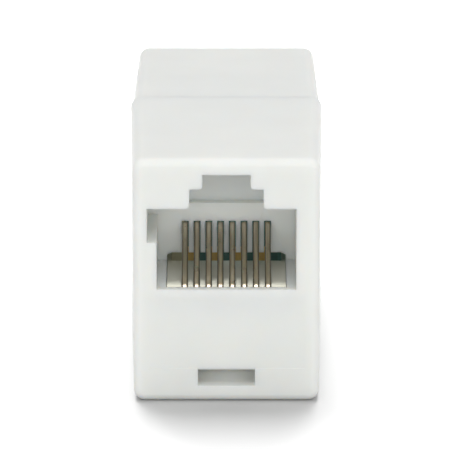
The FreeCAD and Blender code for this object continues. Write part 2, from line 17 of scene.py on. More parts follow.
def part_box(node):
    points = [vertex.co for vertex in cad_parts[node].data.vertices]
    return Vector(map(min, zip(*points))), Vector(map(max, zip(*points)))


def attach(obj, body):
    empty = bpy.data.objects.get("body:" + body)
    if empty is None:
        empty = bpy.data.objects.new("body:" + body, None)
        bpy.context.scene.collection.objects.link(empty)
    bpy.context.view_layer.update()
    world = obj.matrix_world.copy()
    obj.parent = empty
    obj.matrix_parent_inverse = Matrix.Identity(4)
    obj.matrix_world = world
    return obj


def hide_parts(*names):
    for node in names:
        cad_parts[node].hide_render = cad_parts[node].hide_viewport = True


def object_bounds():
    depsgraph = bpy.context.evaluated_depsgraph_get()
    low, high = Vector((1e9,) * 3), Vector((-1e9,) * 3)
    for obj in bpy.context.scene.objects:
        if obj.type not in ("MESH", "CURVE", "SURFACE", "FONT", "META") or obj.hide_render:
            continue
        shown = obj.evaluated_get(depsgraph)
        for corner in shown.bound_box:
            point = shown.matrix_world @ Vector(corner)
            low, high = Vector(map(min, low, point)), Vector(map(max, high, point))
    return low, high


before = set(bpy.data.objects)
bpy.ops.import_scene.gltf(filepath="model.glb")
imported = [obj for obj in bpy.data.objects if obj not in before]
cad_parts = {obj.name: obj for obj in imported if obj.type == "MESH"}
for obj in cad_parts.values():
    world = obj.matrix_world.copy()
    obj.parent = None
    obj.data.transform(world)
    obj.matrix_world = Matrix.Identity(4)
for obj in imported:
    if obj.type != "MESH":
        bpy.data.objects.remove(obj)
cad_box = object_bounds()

MM = 0.001
length = cad_box[1][1] - cad_box[0][1]
width = cad_box[1][0] - cad_box[0][0]
height = cad_box[1][2] - cad_box[0][2]
front_y = cad_box[0][1]
print("coupler, mm: %.2f wide, %.2f long, %.2f high" % (width / MM, length / MM, height / MM))

# %% [markdown]
# ## The camera
# A long lens from far away keeps the block's sides almost parallel, as in a catalogue picture.
# The camera looks straight along the jack and a little down, so the top and the seam show. It
# could be aimed by a Track To constraint at an empty. Here its place follows from the point that
# it looks at, its height angle and its distance, so that each of the three can be changed alone.

# %% Camera
LOOK_AT = Vector((-0.12 * MM, front_y, 15.87 * MM))
CAMERA_RISE = math.radians(17.41)
CAMERA_DISTANCE = 0.430
PICTURE_WIDTH = 450
SCALE_AT_FACE = 11.8 / MM
SENSOR = 36.0
CLIP_NEAR, CLIP_FAR = 0.01, 20.0

camera_data = bpy.data.cameras.new("studio_camera")
camera = bpy.data.objects.new("studio_camera", camera_data)
bpy.context.collection.objects.link(camera)
back_and_up = Vector((0.0, -math.cos(CAMERA_RISE), math.sin(CAMERA_RISE)))
camera.location = LOOK_AT + back_and_up * CAMERA_DISTANCE
camera.rotation_euler = (math.radians(90) - CAMERA_RISE, 0.0, 0.0)
camera_data.sensor_width = SENSOR
camera_data.lens = SCALE_AT_FACE * CAMERA_DISTANCE * SENSOR / PICTURE_WIDTH
camera_data.clip_start = CLIP_NEAR
camera_data.clip_end = CLIP_FAR
bpy.context.scene.camera = camera
print("lens %.0f mm at %.2f m" % (camera_data.lens, CAMERA_DISTANCE))

# %% [markdown]
# ## Helpers for node trees
# A material is a small graph of nodes. It could be drawn by hand in the Shader Editor, but in
# code its numbers have names and it can be made again. These helpers keep the cells short: they
# make an empty material with a Principled shader, add a node and fill its inputs, and read a
# pattern at a place on the piece.

# %% Nodes and materials


def set_inputs(node, **inputs):
    """Set a node's inputs by name; spaces in names are written as underscores."""
    for name, value in inputs.items():
        node.inputs[name.replace("_", " ")].default_value = value
    return node


def add_node(tree, kind, **inputs):
    """Add a node and set its inputs."""
    return set_inputs(tree.nodes.new(kind), **inputs)


def new_material(name):
    """A material with an empty Principled shader on its output."""
    material = bpy.data.materials.new(name)
    material.use_nodes = True
    tree = material.node_tree
    tree.nodes.clear()
    output = tree.nodes.new("ShaderNodeOutputMaterial")
    shader = tree.nodes.new("ShaderNodeBsdfPrincipled")
    tree.links.new(shader.outputs["BSDF"], output.inputs["Surface"])
    return material, tree, shader


# %% Places on a piece


def object_place(tree, scale=(1.0, 1.0, 1.0)):
    """Object coordinates, stretched: the pattern stays fixed to the piece."""
    coordinates = tree.nodes.new("ShaderNodeTexCoord")
    mapping = tree.nodes.new("ShaderNodeMapping")
    mapping.inputs["Scale"].default_value = scale
    tree.links.new(coordinates.outputs["Object"], mapping.inputs["Vector"])
    return mapping.outputs["Vector"]


def across(tree, place):
    """How far across the coupler a place is: its X."""
    split = tree.nodes.new("ShaderNodeSeparateXYZ")
    tree.links.new(place, split.inputs["Vector"])
    return split.outputs["X"]


# %% Fields, colours and bumps
# A Mix node has sockets for each type of data. These are the numbers of its colour sockets.
MIX_FACTOR, MIX_FIRST, MIX_SECOND, MIX_RESULT = 0, 6, 7, 2


def noise(tree, place, per_metre, detail=2.0, roughness=0.5):
    """A noise field read at a place, with so many patches to the metre."""
    node = add_node(tree, "ShaderNodeTexNoise", Scale=per_metre, Detail=detail, Roughness=roughness)
    tree.links.new(place, node.inputs["Vector"])
    return node.outputs["Fac"]


def ramp(tree, field, low, high, from_low=0.3, from_high=0.7):
    """Stretch a field so that from_low..from_high becomes low..high."""
    node = add_node(tree, "ShaderNodeMapRange", From_Min=from_low, From_Max=from_high,
                    To_Min=low, To_Max=high)
    tree.links.new(field, node.inputs["Value"])
    return node.outputs["Result"]


def blend_colours(tree, factor, first, second):
    """Mix two colours by a field; each is a plain colour or another node's output."""
    node = tree.nodes.new("ShaderNodeMix")
    node.data_type = "RGBA"
    tree.links.new(factor, node.inputs[MIX_FACTOR])
    for socket, colour in ((node.inputs[MIX_FIRST], first), (node.inputs[MIX_SECOND], second)):
        if isinstance(colour, bpy.types.NodeSocket):
            tree.links.new(colour, socket)
        else:
            socket.default_value = (*colour, 1.0)
    return node.outputs[MIX_RESULT]


def bump(tree, field, strength, distance, onto=None):
    """Turn a height field into a bumped normal."""
    node = add_node(tree, "ShaderNodeBump", Strength=strength, Distance=distance)
    tree.links.new(field, node.inputs["Height"])
    if onto is not None:
        tree.links.new(onto, node.inputs["Normal"])
    return node.outputs["Normal"]


# %% [markdown]
# ## White case plastic
# The case is moulded in white ABS. Close up such plastic isn't flat white: the mould leaves a
# very fine satin grain on faint waves, the gloss drifts a little over a few millimetres, and
# light soaks in by about a millimetre. An image of plastic could be laid on it, but it would
# blur close up and show its seams. Three noise fields give the drift, the waves and the grain
# at any distance, and subsurface scattering softens the shadows in the jack. The mirror
# highlights are kept low, because the grain breaks them up.

# %% White case plastic
CASE_WHITE = (0.858, 0.874, 0.845)
CASE_SHADE = (0.845, 0.861, 0.832)
CASE_DRIFTS, CASE_WAVES, CASE_GRAINS = 220.0, 500.0, 9000.0     # to the metre
CASE_ROUGHNESS = (0.34, 0.42)
CASE_SOAK_DEPTH = 1.1 * MM
CASE_SOAK_COLOURS = (1.0, 0.9, 0.8)
WAVE_BUMP = (0.10, 0.02 * MM)
GRAIN_BUMP = (0.16, 0.004 * MM)


def case_plastic():
    """Satin white plastic with light that soaks in."""
    material, tree, shader = new_material("white_case_plastic")
    place = object_place(tree)
    drift = noise(tree, place, CASE_DRIFTS, detail=3.0)
    grain = noise(tree, place, CASE_GRAINS, roughness=0.6)
    waves = noise(tree, place, CASE_WAVES, detail=1.0)
    tree.links.new(blend_colours(tree, ramp(tree, drift, 0.0, 1.0), CASE_WHITE, CASE_SHADE),
                   shader.inputs["Base Color"])
    tree.links.new(ramp(tree, drift, *CASE_ROUGHNESS), shader.inputs["Roughness"])
    set_inputs(shader, Subsurface_Weight=1.0, Subsurface_Radius=CASE_SOAK_COLOURS,
               Subsurface_Scale=CASE_SOAK_DEPTH, IOR=1.5, Specular_IOR_Level=0.15)
    waved = bump(tree, waves, *WAVE_BUMP)
    tree.links.new(bump(tree, grain, *GRAIN_BUMP, waved), shader.inputs["Normal"])
    return material


CASE_PLASTIC = case_plastic()
print("material", CASE_PLASTIC.name)

# %% [markdown]
# ## Glossy carrier plastic
# The contact carrier is a harder, shinier and slightly warmer plastic. It mirrors the wires and
# the dark wall behind them. It could share the case's material with a lower roughness, but the
# light that soaks into the case would wash those mirror images out, so it has a material of its
# own, with low roughness that is only slightly uneven.

# %% Glossy carrier plastic
CARRIER_WHITE = (0.62, 0.61, 0.52)
CARRIER_DRIFTS = 600.0      # to the metre
CARRIER_ROUGHNESS = (0.10, 0.20)
CARRIER_BUMP = (0.12, 0.02 * MM)


def carrier_plastic():
    """Hard glossy plastic."""
    material, tree, shader = new_material("glossy_carrier_plastic")
    drift = noise(tree, object_place(tree), CARRIER_DRIFTS)
    set_inputs(shader, Base_Color=(*CARRIER_WHITE, 1.0), IOR=1.55)
    tree.links.new(ramp(tree, drift, *CARRIER_ROUGHNESS), shader.inputs["Roughness"])
    tree.links.new(bump(tree, drift, *CARRIER_BUMP), shader.inputs["Normal"])
    return material


CARRIER_PLASTIC = carrier_plastic()
print("material", CARRIER_PLASTIC.name)

# %% [markdown]
# ## Plated contact wire
# The contacts are drawn bronze wire under nickel and a thin flash of gold, so they look grey
# brown. Drawing leaves streaks along the wire: a noise field squeezed across X and stretched
# along Y and Z makes them, for the colour and the bump, and a plain noise field makes the gloss
# uneven in spots. The rounded edges are painted darker: painted shade, where the round wire turns
# away from the light. Edges could be found from the shape by the Geometry node's Pointiness, but
# that depends on how finely the mesh is cut. The wires stand at an even pitch, so a ping-pong of X
# over half the pitch is highest at each wire's middle and falls towards both edges, however the
# mesh is made.

# %% Plated contact wire
PLATING_LIGHT = (0.56, 0.49, 0.375)
PLATING_DARK = (0.36, 0.31, 0.23)
# painted shade: the dark colour that the wires' rounded edges are given
PLATING_EDGE_SHADE = (0.085, 0.070, 0.048)
PLATING_PATCHES = 900.0     # to the metre
ALONG_THE_WIRE = (16.0, 0.25, 0.25)
PLATING_ROUGHNESS = (0.26, 0.36)
PLATING_BUMP = (0.20, 0.01 * MM)
WIRE_PITCH = 1.016 * MM
EDGE_IS_DARK, EDGE_BEGINS = 0.25 * MM, 0.10 * MM        # from the wire's middle


def edge_shade_mask(tree):
    """Where the painted edge shade falls: 0 at a wire's two edges and 1 in its middle."""
    fold = add_node(tree, "ShaderNodeMath")
    fold.operation = "PINGPONG"
    fold.inputs[1].default_value = WIRE_PITCH / 2
    tree.links.new(across(tree, object_place(tree)), fold.inputs[0])
    return ramp(tree, fold.outputs[0], 0.0, 1.0,
                WIRE_PITCH / 2 - EDGE_IS_DARK, WIRE_PITCH / 2 - EDGE_BEGINS)


def contact_plating():
    """Drawn and plated wire, with painted shade along its edges."""
    material, tree, shader = new_material("plated_contact_wire")
    streaks = noise(tree, object_place(tree, ALONG_THE_WIRE), PLATING_PATCHES)
    spots = noise(tree, object_place(tree), PLATING_PATCHES)
    colour = blend_colours(tree, ramp(tree, streaks, 0.0, 1.0), PLATING_DARK, PLATING_LIGHT)
    # painted shade: each wire's edges blend to the dark edge colour, where the round section turns from
    # the light
    tree.links.new(blend_colours(tree, edge_shade_mask(tree), PLATING_EDGE_SHADE, colour),
                   shader.inputs["Base Color"])
    set_inputs(shader, Metallic=1.0, Coat_Weight=0.35, Coat_Roughness=0.12)
    tree.links.new(ramp(tree, spots, *PLATING_ROUGHNESS), shader.inputs["Roughness"])
    tree.links.new(bump(tree, streaks, *PLATING_BUMP), shader.inputs["Normal"])
    return material


CONTACT_PLATING = contact_plating()
print("material", CONTACT_PLATING.name)

# %% [markdown]
# ## Circuit board
# The board is glass laminate under dark green solder mask, which is thin over the copper
# tracks: upright tracks show as slightly lighter bands. Along one side, past a straight edge in X,
# the board is painted a dull brownish grey instead. The tracks could be cut as strips of their own,
# but so little of the board shows behind the wires that a Wave texture with hard steps does as well.

# %% Circuit board
MASK_GREEN = (0.050, 0.115, 0.095)
MASK_OVER_COPPER = (0.065, 0.155, 0.125)
# a dull brownish grey painted on the board along one side
BOARD_BROWN_SIDE = (0.40, 0.38, 0.24)
BROWN_SIDE_EDGE_X = -3.75 * MM
BROWN_SIDE_BLUR = 0.05 * MM
TRACK_BANDS, TRACK_WOBBLE = 155.0, 0.6
TRACK_STEP = (0.45, 0.55)
WEAVE_THREADS = 3500.0      # to the metre
WEAVE_ROUGHNESS = (0.28, 0.45)
WEAVE_BUMP = (0.2, 0.01 * MM)


def board_laminate():
    """Solder mask over tracks and a dull brownish strip along one side, on a fine weave."""
    material, tree, shader = new_material("solder_mask_board")
    place = object_place(tree)
    bands = add_node(tree, "ShaderNodeTexWave", Scale=TRACK_BANDS, Distortion=TRACK_WOBBLE)
    tree.links.new(place, bands.inputs["Vector"])
    mask = blend_colours(tree, ramp(tree, bands.outputs["Fac"], 0.0, 1.0, *TRACK_STEP),
                         MASK_GREEN, MASK_OVER_COPPER)
    # left of that edge the board is painted brownish grey in place of the mask's green
    brown_side = ramp(tree, across(tree, place), 1.0, 0.0,
                BROWN_SIDE_EDGE_X - BROWN_SIDE_BLUR, BROWN_SIDE_EDGE_X + BROWN_SIDE_BLUR)
    tree.links.new(blend_colours(tree, brown_side, mask, BOARD_BROWN_SIDE), shader.inputs["Base Color"])
    weave = noise(tree, place, WEAVE_THREADS)
    tree.links.new(ramp(tree, weave, *WEAVE_ROUGHNESS), shader.inputs["Roughness"])
    tree.links.new(bump(tree, weave, *WEAVE_BUMP), shader.inputs["Normal"])
    return material


BOARD_LAMINATE = board_laminate()
print("material", BOARD_LAMINATE.name)

# %% [markdown]
# ## Pads and solder
# Pads are flat gold plating with a faint grain, and the solder is bright with a few dull
# patches. Both could be one plain metal colour each, but a metal with even gloss looks like
# paint, so one noise field drives colour and gloss together: where it is lighter it is duller.

# %% Pads and solder
PAD_DARK, PAD_LIGHT = (0.52, 0.36, 0.12), (0.66, 0.48, 0.18)
SOLDER_DARK, SOLDER_LIGHT = (0.45, 0.46, 0.47), (0.68, 0.69, 0.70)
PAD_GRAINS, SOLDER_PATCHES = 5000.0, 1800.0     # to the metre
PAD_ROUGHNESS, SOLDER_ROUGHNESS = (0.35, 0.5), (0.18, 0.38)
SOLDER_BUMP = (0.3, 0.03 * MM)


def uneven_metal(name, patches, dark, light, roughness, metallic, dents=None):
    """A metal whose colour and gloss drift together, with shallow dents if they are given."""
    material, tree, shader = new_material(name)
    field = noise(tree, object_place(tree), patches, detail=3.0)
    tree.links.new(blend_colours(tree, field, dark, light), shader.inputs["Base Color"])
    set_inputs(shader, Metallic=metallic)
    tree.links.new(ramp(tree, field, *roughness), shader.inputs["Roughness"])
    if dents is not None:
        tree.links.new(bump(tree, field, *dents), shader.inputs["Normal"])
    return material


PAD_GOLD = uneven_metal("flat_gold_plating", PAD_GRAINS, PAD_DARK, PAD_LIGHT, PAD_ROUGHNESS,
                        metallic=0.7)
SOLDER = uneven_metal("bright_solder", SOLDER_PATCHES, SOLDER_DARK, SOLDER_LIGHT,
                      SOLDER_ROUGHNESS, metallic=1.0, dents=SOLDER_BUMP)
print("materials", PAD_GOLD.name, SOLDER.name)

# %% [markdown]
# ## Moulded pieces with soft edges
# A mould never gives a knife edge: every edge of the case has a radius of about a tenth of a
# millimetre, and the thin line of light on it is what makes plastic look moulded. The solids
# from CAD have sharp edges in the jack. A Bevel node in the material would only shade them as
# round, and the outline would stay sharp. So a copy of each solid is merged into one skin, its
# flat areas are joined into large faces, and a Bevel modifier rounds every sharp edge.

# %% A merged copy
WELD_DISTANCE = 0.0005 * MM
FLAT_ANGLE = math.radians(0.5)


def merged_copy(node, name):
    """A welded copy of a CAD node's mesh, with coplanar triangles joined."""
    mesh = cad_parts[node].data.copy()
    mesh.name = name
    work = bmesh.new()
    work.from_mesh(mesh)
    bmesh.ops.remove_doubles(work, verts=work.verts, dist=WELD_DISTANCE)
    bmesh.ops.dissolve_limit(work, angle_limit=FLAT_ANGLE, verts=work.verts, edges=work.edges,
                             delimit={"NORMAL"})
    bmesh.ops.triangulate(work, faces=[face for face in work.faces if len(face.verts) > 4])
    work.to_mesh(mesh)
    work.free()
    piece = bpy.data.objects.new(name, mesh)
    bpy.context.collection.objects.link(piece)
    return piece


# %% Panel and rounds
PANEL_DEPTH = 0.10 * MM
PANEL_SEEN = 0.035 * MM
PANEL_TOLERANCE = 0.001 * MM
SHARP_ANGLE = math.radians(30)
ROUND_SEGMENTS = 3


def flatten_panel(piece):
    """Show the front panel's recess shallower than it is cut, as the soft mould leaves it."""
    for vertex in piece.data.vertices:
        depth = length / 2 - abs(vertex.co.y)
        if abs(depth - PANEL_DEPTH) < PANEL_TOLERANCE:
            vertex.co.y = math.copysign(length / 2 - PANEL_SEEN, vertex.co.y)


def soften_edges(piece, edge_radius):
    """Round the sharp edges and smooth what is curved."""
    bevel = piece.modifiers.new("edge_rounds", "BEVEL")
    bevel.width = edge_radius
    bevel.segments = ROUND_SEGMENTS
    bevel.limit_method = "ANGLE"
    bevel.angle_limit = SHARP_ANGLE
    bevel.miter_outer = "MITER_ARC"
    bevel.use_clamp_overlap = True
    weighted = piece.modifiers.new("flat_shading_of_flats", "WEIGHTED_NORMAL")
    weighted.keep_sharp = True
    for polygon in piece.data.polygons:
        polygon.use_smooth = True


# %% Moulded pieces
CASE_EDGE = 0.13 * MM
CARRIER_EDGE = 0.05 * MM


def moulded_piece(node, name, material, edge_radius):
    """A softened copy that stands for a CAD node."""
    piece = merged_copy(node, name)
    piece.data.materials.clear()
    piece.data.materials.append(material)
    flatten_panel(piece)
    soften_edges(piece, edge_radius)
    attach(piece, "root")
    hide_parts(node)
    print(name, len(piece.data.polygons), "faces before the rounds")
    return piece


for side in ("front", "rear"):
    moulded_piece(side + "_housing", side + "_case_moulding", CASE_PLASTIC, CASE_EDGE)
    moulded_piece(side + "_contact_carrier", side + "_carrier_moulding", CARRIER_PLASTIC,
                  CARRIER_EDGE)

# %% [markdown]
# ## The bent wires: their path
# All sixteen contacts are the same wire bent the same way, except that every second pin sits in
# the lower row of holes. The path is five straight stretches: pin, drop, run under the carrier,
# rise and tip. It could be drawn as a Bezier curve, but then each bend would be a matter of
# handles. Here only the corners are worked out, from the CAD wires' boxes and the bend angles,
# and each corner's radius is stored on it for the node tree to use.

# %% Sizes of the wires
first_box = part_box("front_contact_1")
second_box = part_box("front_contact_2")
WIRE_WIDTH = first_box[1][0] - first_box[0][0]
WIRE_THICK = 0.32 * MM
PITCH = first_box[0][0] - second_box[0][0]
FIRST_X = (first_box[0][0] + first_box[1][0]) / 2
PIN_END = first_box[1][1]
UPPER_ROW = first_box[0][2] + WIRE_THICK / 2
LOWER_ROW = second_box[0][2] + WIRE_THICK / 2
print("wire %.2f x %.2f mm, pitch %.3f mm" % (WIRE_WIDTH / MM, WIRE_THICK / MM, PITCH / MM))

# %% Corners of the wire path
RISE, DROP, TAIL = math.radians(25.65), math.radians(45.0), math.radians(15.0)
NOSE_BEND, SMALL_BEND, TIP_BEND = 0.79 * MM, 0.5 * MM, 0.4 * MM
NOSE_Y = first_box[0][1] + WIRE_THICK / 2 + NOSE_BEND
RUN_Z = 8.58 * MM
DROP_Y = front_y + 9.30 * MM
TIP_Y = front_y + 8.42 * MM
TAIL_Y = front_y + 9.25 * MM


def wire_corners(row):
    """Corners of one wire as (y, z, bend radius), from the pin's end to the tip's end."""
    upper_y = DROP_Y + SMALL_BEND * math.tan(DROP / 2)
    lower_y = upper_y + (RUN_Z - row) / math.tan(DROP)
    nose_corner_y = NOSE_Y - NOSE_BEND / math.tan(RISE / 2)
    tip_y = TIP_Y - TIP_BEND * math.sin(RISE) + TIP_BEND * math.tan((RISE + TAIL) / 2) * math.cos(RISE)
    tip_z = RUN_Z + (tip_y - nose_corner_y) * math.tan(RISE)
    tail_z = tip_z - (TAIL_Y - tip_y) * math.tan(TAIL)
    return [(PIN_END, row, 0.0), (lower_y, row, SMALL_BEND), (upper_y, RUN_Z, SMALL_BEND),
            (nose_corner_y, RUN_Z, NOSE_BEND), (tip_y, tip_z, TIP_BEND), (TAIL_Y, tail_z, 0.0)]


print("corners of an upper wire, mm:", [(round(y / MM, 2), round(z / MM, 2))
                                        for y, z, bend in wire_corners(UPPER_ROW)])

# %% The two paths as a mesh


def path_mesh(name):
    """Both wire paths as edges; the row attribute is 0 for the upper one and 1 for the lower."""
    corners = wire_corners(UPPER_ROW) + wire_corners(LOWER_ROW)
    count = len(corners) // 2
    mesh = bpy.data.meshes.new(name)
    edges = [(start, start + 1) for start in range(len(corners) - 1) if start != count - 1]
    mesh.from_pydata([(0.0, y, z) for y, z, bend in corners], edges, [])
    bends = mesh.attributes.new("bend", "FLOAT", "POINT")
    rows = mesh.attributes.new("row", "FLOAT", "POINT")
    for index, (y, z, bend) in enumerate(corners):
        bends.data[index].value = bend
        rows.data[index].value = index // count
    return mesh


# %% [markdown]
# ## The bent wires: their node tree
# The wires could be sixteen curves with a bevel each. A Geometry Nodes tree makes them from the
# two paths, so that width, pitch and bends stay numbers that can be changed. It fillets the
# corners, sweeps a rounded section along the path, widens the wire a little where it is bent
# round the carrier, and repeats it at the contact pitch with a hair of sway. Each part of the
# tree is a function here, in the order in which the geometry passes through them.

# %% Helpers for the tree


def geometry_node(group, kind, sockets=(), **settings):
    """Add a node; a socket is given a plain value or another node's output."""
    made = group.nodes.new(kind)
    for name, value in settings.items():
        setattr(made, name, value)
    for name, value in dict(sockets).items():
        if isinstance(value, bpy.types.NodeSocket):
            group.links.new(value, made.inputs[name])
        else:
            made.inputs[name].default_value = value
    return made


def maths(group, operation, first, second):
    """The result of one sum."""
    return geometry_node(group, "ShaderNodeMath", {0: first, 1: second}, operation=operation).outputs[0]


def attribute(group, name):
    """A number that is stored on the points of the path."""
    return geometry_node(group, "GeometryNodeInputNamedAttribute", {"Name": name},
                         data_type="FLOAT").outputs["Attribute"]


# %% The wire's section and its sweep
SECTION_STEPS = 4
BEND_STEPS = 14
NOSE_REACH = 1.4 * MM


def wire_section(group, source):
    """A rectangle with rounded corners."""
    flat = geometry_node(group, "GeometryNodeCurvePrimitiveQuadrilateral",
                         {"Width": source["Wire Width"], "Height": source["Wire Thickness"]})
    return geometry_node(group, "GeometryNodeFilletCurve",
                         {"Curve": flat.outputs["Curve"], "Radius": source["Corner Round"],
                          "Count": SECTION_STEPS}, mode="POLY").outputs["Curve"]


def width_along(group, source):
    """1 along the wire, and a little more round the nose."""
    position = geometry_node(group, "GeometryNodeInputPosition").outputs["Position"]
    place = geometry_node(group, "ShaderNodeSeparateXYZ", {"Vector": position})
    behind = maths(group, "SUBTRACT", place.outputs["Y"], source["Nose Y"])
    near = geometry_node(group, "ShaderNodeMapRange",
                         {"Value": behind, "From Min": 0.0, "From Max": NOSE_REACH,
                          "To Min": 1.0, "To Max": 0.0}, interpolation_type="SMOOTHSTEP")
    widening = maths(group, "MULTIPLY", near.outputs["Result"], source["Nose Widening"])
    return maths(group, "ADD", widening, 1.0)


def swept_wires(group, source):
    """Both paths, filleted at their corners and swept with the section."""
    path = geometry_node(group, "GeometryNodeMeshToCurve", {"Mesh": source["Geometry"]})
    rounded = geometry_node(group, "GeometryNodeFilletCurve",
                            {"Curve": path.outputs["Curve"], "Radius": attribute(group, "bend"),
                             "Count": BEND_STEPS}, mode="POLY")
    return geometry_node(group, "GeometryNodeCurveToMesh",
                         {"Curve": rounded.outputs["Curve"],
                          "Profile Curve": wire_section(group, source),
                          "Scale": width_along(group, source), "Fill Caps": True}).outputs["Mesh"]


# %% One row of wires


def wire_row(group, source, wires, row):
    """The wires of one row: two pitches apart, each turned by a tiny random angle."""
    other_row = maths(group, "GREATER_THAN" if row == 0 else "LESS_THAN", attribute(group, "row"), 0.5)
    wire = geometry_node(group, "GeometryNodeDeleteGeometry",
                         {"Geometry": wires, "Selection": other_row}, domain="POINT")
    shift = maths(group, "MULTIPLY", source["Pitch"], -float(row))
    start = geometry_node(group, "ShaderNodeCombineXYZ",
                          {"X": maths(group, "ADD", source["First X"], shift)})
    step = geometry_node(group, "ShaderNodeCombineXYZ",
                         {"X": maths(group, "MULTIPLY", source["Pitch"], -2.0)})
    line = geometry_node(group, "GeometryNodeMeshLine",
                         {"Count": source["Wires Per Row"], "Start Location": start.outputs["Vector"],
                          "Offset": step.outputs["Vector"]})
    # inputs 2 and 3 and output 1 of a Random Value node are those for a single number
    sway = geometry_node(group, "FunctionNodeRandomValue",
                         {2: maths(group, "MULTIPLY", source["Sway"], -1.0), 3: source["Sway"],
                          "Seed": maths(group, "ADD", source["Seed"], float(row))}, data_type="FLOAT")
    turn = geometry_node(group, "ShaderNodeCombineXYZ", {"Z": sway.outputs[1]})
    return geometry_node(group, "GeometryNodeInstanceOnPoints",
                         {"Points": line.outputs["Mesh"], "Instance": wire.outputs["Geometry"],
                          "Rotation": turn.outputs["Vector"]}).outputs["Instances"]


# %% The whole tree


def wire_tree():
    """A node group: paths in, rows of finished wires out."""
    group = bpy.data.node_groups.new("bent_wires", "GeometryNodeTree")
    group.interface.new_socket("Geometry", in_out="INPUT", socket_type="NodeSocketGeometry")
    group.interface.new_socket("Geometry", in_out="OUTPUT", socket_type="NodeSocketGeometry")
    for label in ("First X", "Pitch", "Wire Width", "Wire Thickness", "Corner Round", "Nose Y",
                  "Nose Widening", "Sway"):
        group.interface.new_socket(label, in_out="INPUT", socket_type="NodeSocketFloat")
    for label in ("Wires Per Row", "Seed"):
        group.interface.new_socket(label, in_out="INPUT", socket_type="NodeSocketInt")
    group.interface.new_socket("Plating", in_out="INPUT", socket_type="NodeSocketMaterial")
    source = group.nodes.new("NodeGroupInput").outputs
    wires = swept_wires(group, source)
    rows = geometry_node(group, "GeometryNodeJoinGeometry")
    for row in (0, 1):
        group.links.new(wire_row(group, source, wires, row), rows.inputs["Geometry"])
    real = geometry_node(group, "GeometryNodeRealizeInstances", {"Geometry": rows.outputs["Geometry"]})
    smooth = geometry_node(group, "GeometryNodeSetShadeSmooth", {"Geometry": real.outputs["Geometry"]})
    plated = geometry_node(group, "GeometryNodeSetMaterial",
                           {"Geometry": smooth.outputs["Geometry"], "Material": source["Plating"]})
    geometry_node(group, "NodeGroupOutput", {"Geometry": plated.outputs["Geometry"]})
    return group


WIRE_TREE = wire_tree()
print("wire tree:", len(WIRE_TREE.nodes), "nodes")

# %% [markdown]
# ## The bent wires: one piece for each jack
# The eight wires of a jack are eight separate contacts on the real object, held by the carrier.
# They never move by themselves, so they could be eight objects or one. One plain mesh per jack
# is lighter, and it stands for the eight CAD wires of that jack. The rear jack's wires are the
# front ones turned by half a turn.

# %% Wires in both jacks
CORNER_ROUND = 0.15 * MM
NOSE_WIDENING = 0.16
SWAY = 0.0006       # radians
WIRE_SETTINGS = {"First X": FIRST_X, "Pitch": PITCH, "Wire Width": WIRE_WIDTH,
                 "Wire Thickness": WIRE_THICK, "Corner Round": CORNER_ROUND, "Nose Y": NOSE_Y,
                 "Nose Widening": NOSE_WIDENING, "Sway": SWAY, "Wires Per Row": 4, "Seed": 7,
                 "Plating": CONTACT_PLATING}


def wires_mesh(name):
    """What the tree makes of the two paths, as a plain mesh."""
    host = bpy.data.objects.new(name + "_paths", path_mesh(name + "_paths"))
    bpy.context.collection.objects.link(host)
    modifier = host.modifiers.new("wires", "NODES")
    modifier.node_group = WIRE_TREE
    for socket in WIRE_TREE.interface.items_tree:
        if socket.name in WIRE_SETTINGS:
            modifier[socket.identifier] = WIRE_SETTINGS[socket.name]
    view = bpy.context.evaluated_depsgraph_get()
    mesh = bpy.data.meshes.new_from_object(host.evaluated_get(view))
    mesh.name = name
    host.modifiers.clear()
    bpy.data.objects.remove(host)
    return mesh


def wires_piece(name, side, turn):
    """The eight wires of one jack, turned to their own end."""
    mesh = wires_mesh(name)
    mesh.transform(Matrix.Rotation(turn, 4, "Z"))
    piece = bpy.data.objects.new(name, mesh)
    bpy.context.collection.objects.link(piece)
    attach(piece, "root")
    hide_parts(*["%s_contact_%d" % (side, number) for number in range(1, 9)])
    print(name, len(mesh.polygons), "faces")
    return piece


wires_piece("front_wires", "front", 0.0)
wires_piece("rear_wires", "rear", math.pi)

# %% [markdown]
# ## Finishes for the CAD nodes that stay
# The board, its pads and the solder joints are seen only through the gaps between the wires.
# They could be built again with finer detail, but their solids already have the right outline
# at that size, so they stay as they are and only their material slots are filled.

# %% Board, pads and solder
BOARD_FINISHES = {"circuit_board": BOARD_LAMINATE, "board_pads": PAD_GOLD, "solder_joints": SOLDER}


def dress(node, material):
    """Give a CAD node that stays visible its finish."""
    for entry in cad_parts[node].material_slots:
        entry.material = material


for node, material in BOARD_FINISHES.items():
    dress(node, material)
    print(node, "has", material.name)

# %% [markdown]
# ## The white floor
# The coupler stands on a white sheet. A strong lamp could burn a grey floor to white, but it
# would burn the white case as well, and the shadow would go. So the floor's own colour is white
# for the eye, in mirror images and through glass, and it still takes the coupler's shadow. What
# the floor bounces back is a choice of its own, made by the Light Path node: it bounces only
# about half, or the upper part of the front face would be brighter than the lower part.

# %% Which rays see white


def seen_rays(tree):
    """1 for rays from the eye, from mirrors and through glass, and 0 for bounced light."""
    kinds = tree.nodes.new("ShaderNodeLightPath")
    seen = kinds.outputs["Is Camera Ray"]
    for ray in ("Is Glossy Ray", "Is Transmission Ray"):
        either = tree.nodes.new("ShaderNodeMath")
        either.operation = "MAXIMUM"
        tree.links.new(seen, either.inputs[0])
        tree.links.new(kinds.outputs[ray], either.inputs[1])
        seen = either.outputs[0]
    return seen


# %% Floor
FLOOR_WHITE = (0.88, 0.88, 0.88)
FLOOR_BOUNCE = (0.47, 0.47, 0.47)
FLOOR_SIZE = 6.0


def floor_finish():
    """A matte white for the eye that bounces less than it shows."""
    material = bpy.data.materials.new("studio_floor")
    material.use_nodes = True
    tree = material.node_tree
    tree.nodes.clear()
    output = tree.nodes.new("ShaderNodeOutputMaterial")
    matte = tree.nodes.new("ShaderNodeBsdfDiffuse")
    tree.links.new(blend_colours(tree, seen_rays(tree), FLOOR_BOUNCE, FLOOR_WHITE),
                   matte.inputs["Color"])
    tree.links.new(matte.outputs[0], output.inputs["Surface"])
    return material


